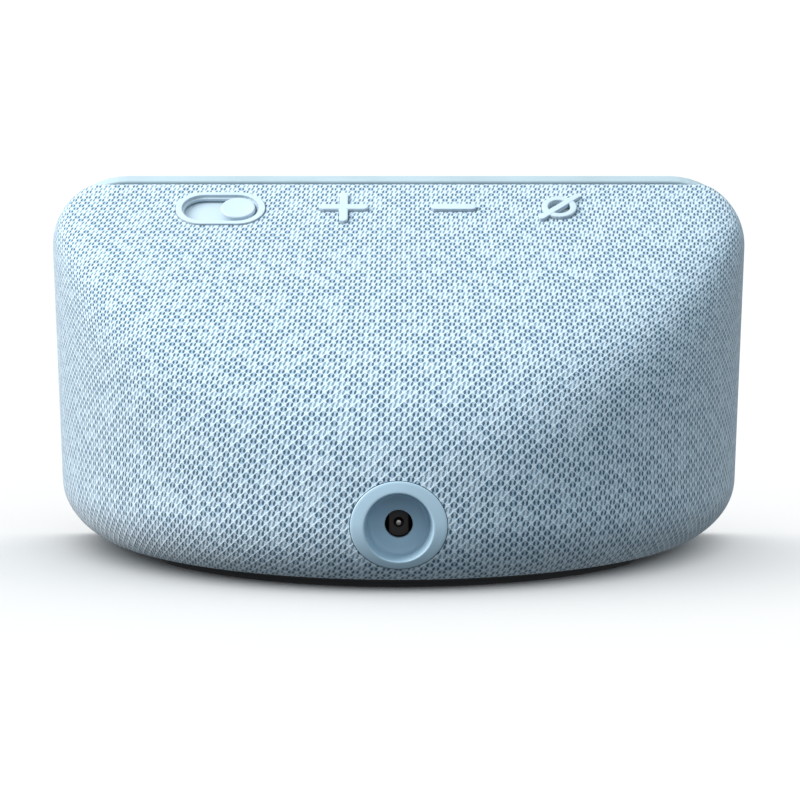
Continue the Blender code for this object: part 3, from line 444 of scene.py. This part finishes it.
knit = Finish("pale_blue_knit", (0.62, 0.76, 0.85), 0.85, sheen_weight=0.3, sheen_roughness=0.5,
              specular_ior_level=0.2)
weave_at = knit.node("ShaderNodeUVMap", {"uv_map": "weave"})
column = knit.node("ShaderNodeSeparateXYZ", {}, [weave_at], 0)
course = knit.node("ShaderNodeSeparateXYZ", {}, [weave_at], 1)
wander = knit.noise(420.0, 1.0) - 0.5
column, course = column + 0.10 * wander, course + 0.10 * wander
ax, ay = column.fraction() - 0.5, course.fraction() - 0.5
bx, by = (column + 0.5).fraction() - 0.5, (course + 0.5).fraction() - 0.5
nearer = (0.5 - abs(ax) - abs(ay)).ramp(0.0, 0.0001)
px = bx + nearer * (ax - bx)
py = by + nearer * (ay - by)
row_number = ((course - py) * 2 + 0.5).floor()
column_number = ((column - px) * 2 + 0.5).floor()
stitch = knit.node("ShaderNodeCombineXYZ", {}, [column_number, row_number, 0.0])
chance = knit.node("ShaderNodeTexWhiteNoise", {"noise_dimensions": "2D"}, {"Vector": stitch})
from_edge = 0.5 - abs(px) - abs(py)
inside = 1 - ((abs(px) / 0.37) ** 1.6 + (abs(py) / 0.40) ** 1.6).ramp(0.62, 1.16)
crown = (1 - (from_edge / 0.20) ** 2.0).at_least(0.0)
lean = 0.08 + 0.20 * chance
beside = abs(px - lean * py) - 0.18
slot = 1 - ((beside / 0.105) ** 2.0 + (py / (0.22 + 0.05 * chance)) ** 2.0).ramp(0.60, 1.30)
fibre = knit.noise(5200.0, 3.0)
patch = knit.noise(45.0, 2.0)
height = 0.60 + 0.30 * crown - 0.22 * inside - 0.62 * slot + 0.10 * fibre
yarn = knit.blend(fibre.ramp(0.35, 0.7), (0.45, 0.59, 0.70, 1.0), (0.59, 0.72, 0.81, 1.0))
toned = knit.blend(patch.ramp(0.3, 0.75), yarn, (0.52, 0.655, 0.755, 1.0))
# Painted shade: the yarn deep inside each stitch is coloured darker than the surface yarn, for the shade it lies
# in.
deep_yarn_painted_shade = knit.blend(chance, (0.26, 0.39, 0.51, 1.0), (0.47, 0.60, 0.71, 1.0))
# Painted shade: the open slots are coloured dark blue for the shadow seen through them.
hollow_painted_shade = knit.blend(chance.ramp(0.5, 1.0), (0.05, 0.095, 0.14, 1.0), (0.20, 0.30, 0.39, 1.0))
knit.feed("Base Color", knit.blend(slot, knit.blend(inside, toned, deep_yarn_painted_shade), hollow_painted_shade))
knit.feed("Roughness", 0.7 + 0.25 * fibre)
knit.bump(height, 0.0005, 0.5)
knit_cover.data.materials.clear()
knit_cover.data.materials.append(knit.material)
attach(knit_cover, "speaker_body")
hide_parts("fabric_cover")

# ------------------------------------------------------------------ front frame, trim ring and controls
# These are injection moulded in blue ABS with a fine satin grain. The frame closes the front of
# the housing, the ring lines the power inlet, and the keys and slider stand just proud of the knit.
def moulded(name, colour, roughness, grain=0.000004, **constants):
    """A moulded plastic with a fine spark-eroded grain and faint flow marks."""
    finish = Finish(name, colour, roughness, **constants)
    fine = finish.noise(4200.0, 2.0)
    flow = finish.noise(70.0, 3.0, (1.0, 1.0, 0.4))
    dark = tuple(c * 0.93 for c in colour)
    light = tuple(min(c * 1.05, 1.0) for c in colour)
    finish.feed("Base Color", finish.blend(flow.ramp(0.3, 0.7), (*dark, 1.0), (*light, 1.0)))
    finish.feed("Roughness", roughness - 0.05 + 0.10 * fine)
    finish.bump(fine, grain, 0.6)
    return finish


satin_blue = moulded("satin_blue_plastic", (0.36, 0.52, 0.64), 0.42, specular_ior_level=0.45)
key_blue = moulded("key_blue_plastic", (0.42, 0.53, 0.61), 0.40, specular_ior_level=0.45)
# Painted shade: the frame is the same blue moulding, coloured darker than its own blue to hold down the strong
# light on its top face.
frame_plastic_shaded = moulded("frame_plastic_painted_shade", (0.30, 0.40, 0.45), 0.45, specular_ior_level=0.4)
paint(frame_plastic_shaded, "front_frame")
paint(key_blue, "shutter_bezel", "shutter_knob", "plus_button", "minus_button", "mic_off_button")
membrane = moulded("frosted_membrane", (0.42, 0.47, 0.50), 0.6, subsurface_weight=0.1)
paint(membrane, "mic_light_guide")

# ------------------------------------------------------------------ power inlet
# The trim ring is one blue moulding: a band over the curved rear, a tapered cup and a flat floor.
# Behind the floor sits a black nylon socket with a dark insulator and a plated steel pin.
RIM, FLOOR, BORE = 6.7 * MM, 6.1 * MM, 2.75 * MM
floor_y = DEPTH / 2 - 7 * MM
PROUD = 0.15 * MM


def rear_y(x, z):
    """Where the cover's outer surface lies at x and z on the rear."""
    px, py, _ = outline(z)
    return np.interp(x, px[::-1], py[::-1])


def ring_row(across, up, lift, behind=None, depth=None):
    """One loop of the trim ring, either behind the rear surface or at a fixed depth."""
    loop = []
    for x, z in oval(across, up, 112, lift):
        y = depth if behind is None else rear_y(x, z + JACK_RISE) + PROUD - behind
        loop.append((x, y, z + JACK_RISE))
    return loop


BAND_WIDE, BAND_TALL = 9.2 * MM, 8.4 * MM
loops = []
for across, up, behind in ((9.46, 8.66, 1.15), (9.5, 8.7, 0.30), (9.47, 8.67, 0.14), (9.38, 8.58, 0.04),
                           (9.2, 8.4, 0.0)):
    loops.append(ring_row(across * MM, up * MM, RING_LIFT, behind * MM))
for share in (0.2, 0.4, 0.6, 0.8):
    across = BAND_WIDE + (RIM + 0.4 * MM - BAND_WIDE) * share
    up = BAND_TALL + (RIM + 0.4 * MM - BAND_TALL) * share
    loops.append(ring_row(across, up, RING_LIFT * (1 - share), 0.0))
for grow, behind in ((0.40, 0.0), (0.22, 0.02), (0.08, 0.10), (0.0, 0.26), (-0.03, 0.6)):
    loops.append(ring_row(RIM + grow * MM, RIM + grow * MM, 0.0, behind * MM))
for radius, depth in ((FLOOR + 0.06 * MM, 2.0), (FLOOR, 1.0), (FLOOR - 0.05 * MM, 0.72), (FLOOR - 0.22 * MM, 0.38),
                      (FLOOR - 0.5 * MM, 0.13), (FLOOR - 0.9 * MM, 0.02), (FLOOR - 1.3 * MM, 0.0),
                      (BORE + 0.2 * MM, 0.0), (BORE + 0.06 * MM, -0.05), (BORE, -0.2), (BORE, -0.9),
                      (RIM + 0.9 * MM, -0.9)):
    loops.append(ring_row(radius, radius, 0.0, depth=floor_y + depth * MM))
loops.append(ring_row(RIM + 0.9 * MM, RIM + 0.9 * MM, 0.0, 1.15 * MM))
around = len(loops[0])
faces = []
for number in range(len(loops)):
    here, after = number * around, (number + 1) % len(loops) * around
    for k in range(around):
        beyond = (k + 1) % around
        faces.append((here + k, here + beyond, after + beyond, after + k))
mesh = bpy.data.meshes.new("trim_ring")
mesh.from_pydata([point for loop in loops for point in loop], [], faces)
trim_ring = bpy.data.objects.new("trim_ring", mesh)
bpy.context.scene.collection.objects.link(trim_ring)
face_outward(mesh)
mesh.shade_smooth()
mesh.set_sharp_from_angle(angle=math.radians(55))
mesh.materials.append(satin_blue.material)
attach(trim_ring, "speaker_body")
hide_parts("jack_ring")

black_nylon = moulded("black_nylon", (0.018, 0.017, 0.018), 0.45)
plating = moulded("nickel_plating", (0.62, 0.60, 0.56), 0.28, 0.000002, metallic=1.0)
paint(black_nylon, "dc_socket")
paint(plating, "shield_can", "radio_module", "microphone_left", "microphone_right")
dark_steel = moulded("dark_plated_steel", (0.45, 0.43, 0.41), 0.16, 0.000001, metallic=1.0)
paint(dark_steel, "socket_pin")
FLAT_AT, INSULATOR_RADIUS = 1.95 * MM, BORE - 0.05 * MM
insulator_plan = oval(INSULATOR_RADIUS, INSULATOR_RADIUS)
insulator_plan = [(min(max(x, -FLAT_AT), FLAT_AT), y) for x, y in insulator_plan]
insulator = prism("socket_insulator", insulator_plan, 34.6 * MM, 35.9 * MM, JACK, along="Y")
carve(insulator, prism("cut", oval(0.98 * MM, 0.98 * MM, 32), 34 * MM, 37 * MM, JACK, along="Y"))
edge_round = insulator.modifiers.new("edge_round", "BEVEL")
edge_round.width = 0.1 * MM
edge_round.segments = 2
bake(insulator)
brown_resin = moulded("brown_phenolic_resin", (0.050, 0.038, 0.034), 0.55, 0.00001)
insulator.data.materials.clear()
insulator.data.materials.append(brown_resin.material)
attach(insulator, "speaker_body")

# ------------------------------------------------------------------ rubber foot and base plate
# One black silicone rubber foot is glued under a glass-filled nylon plate held by four screws.
foot_rubber = moulded("black_rubber", (0.016, 0.016, 0.017), 0.68, 0.00001)
base_nylon = moulded("glass_filled_nylon", (0.028, 0.028, 0.030), 0.55, 0.000008)
paint(foot_rubber, "rubber_foot", "speaker_surround")
paint(base_nylon, "base_plate", "display_panel", "camera_module", "shutter_blade", "switch_plus",
      "switch_minus", "switch_mic_off", "amplifier_chip")

# ------------------------------------------------------------------ display glass and camera
# The front is one sheet of toughened glass, printed black behind, over the camera and the panel.
front_glass = Finish("black_front_glass", (0.006, 0.006, 0.008), 0.05, coat_weight=1.0, coat_roughness=0.03)
smears = front_glass.noise(55.0, 4.0, (1.0, 1.0, 3.0))
front_glass.feed("Roughness", 0.04 + 0.10 * smears.ramp(0.45, 0.8))
front_glass.feed("Base Color", front_glass.blend(smears, (0.004, 0.004, 0.006, 1.0), (0.010, 0.010, 0.013, 1.0)))
paint(front_glass, "cover_glass")
coated_lens = Finish("coated_lens", (0.02, 0.015, 0.05), 0.03, coat_weight=1.0, coat_roughness=0.02)
bloom = coated_lens.noise(900.0, 1.0)
coated_lens.feed("Base Color", coated_lens.blend(bloom, (0.01, 0.02, 0.06, 1.0), (0.05, 0.015, 0.07, 1.0)))
paint(coated_lens, "camera_lens")

# ------------------------------------------------------------------ inner frames and circuit boards
# The housing and chassis are moulded grey ABS, and the boards are glass-epoxy with green resist.
shell_grey = moulded("grey_shell_plastic", (0.30, 0.33, 0.35), 0.5, 0.000010)
paint(shell_grey, "rear_housing", "inner_chassis", "speaker_basket", "speaker_enclosure")
pressed_steel = moulded("pressed_steel", (0.55, 0.56, 0.57), 0.34, 0.000003, metallic=1.0)
paint(pressed_steel, "backlight_tray", "base_screw_1", "base_screw_2", "base_screw_3", "base_screw_4",
      "board_screw_1", "board_screw_2", "board_screw_3")
green_resist = moulded("green_solder_resist", (0.02, 0.13, 0.06), 0.35, 0.000010)
paint(green_resist, "button_board", "main_board")
film = moulded("amber_film", (0.45, 0.22, 0.05), 0.35)
paint(film, "button_flex", "display_flex", "speaker_spider")
aluminium = moulded("milled_aluminium", (0.70, 0.71, 0.72), 0.36, metallic=1.0)
paint(aluminium, "heat_spreader")
pad = moulded("grey_gap_pad", (0.33, 0.34, 0.36), 0.8, 0.00002)
paint(pad, "thermal_pad")

# ------------------------------------------------------------------ loudspeaker and its wires
# A pressed paper cone on a rubber surround is driven by a copper coil in a ferrite ring magnet.
paper = moulded("pressed_paper", (0.045, 0.043, 0.042), 0.85, 0.00004)
paint(paper, "speaker_cone", "dust_cap")
ferrite = moulded("sintered_ferrite", (0.06, 0.06, 0.065), 0.6, 0.00002)
paint(ferrite, "speaker_magnet")
copper = moulded("enamelled_copper", (0.72, 0.30, 0.12), 0.3, metallic=1.0)
paint(copper, "voice_coil")
paint(moulded("red_pvc", (0.45, 0.02, 0.02), 0.45), "speaker_wire_red")
paint(moulded("black_pvc", (0.02, 0.02, 0.02), 0.45), "speaker_wire_black")
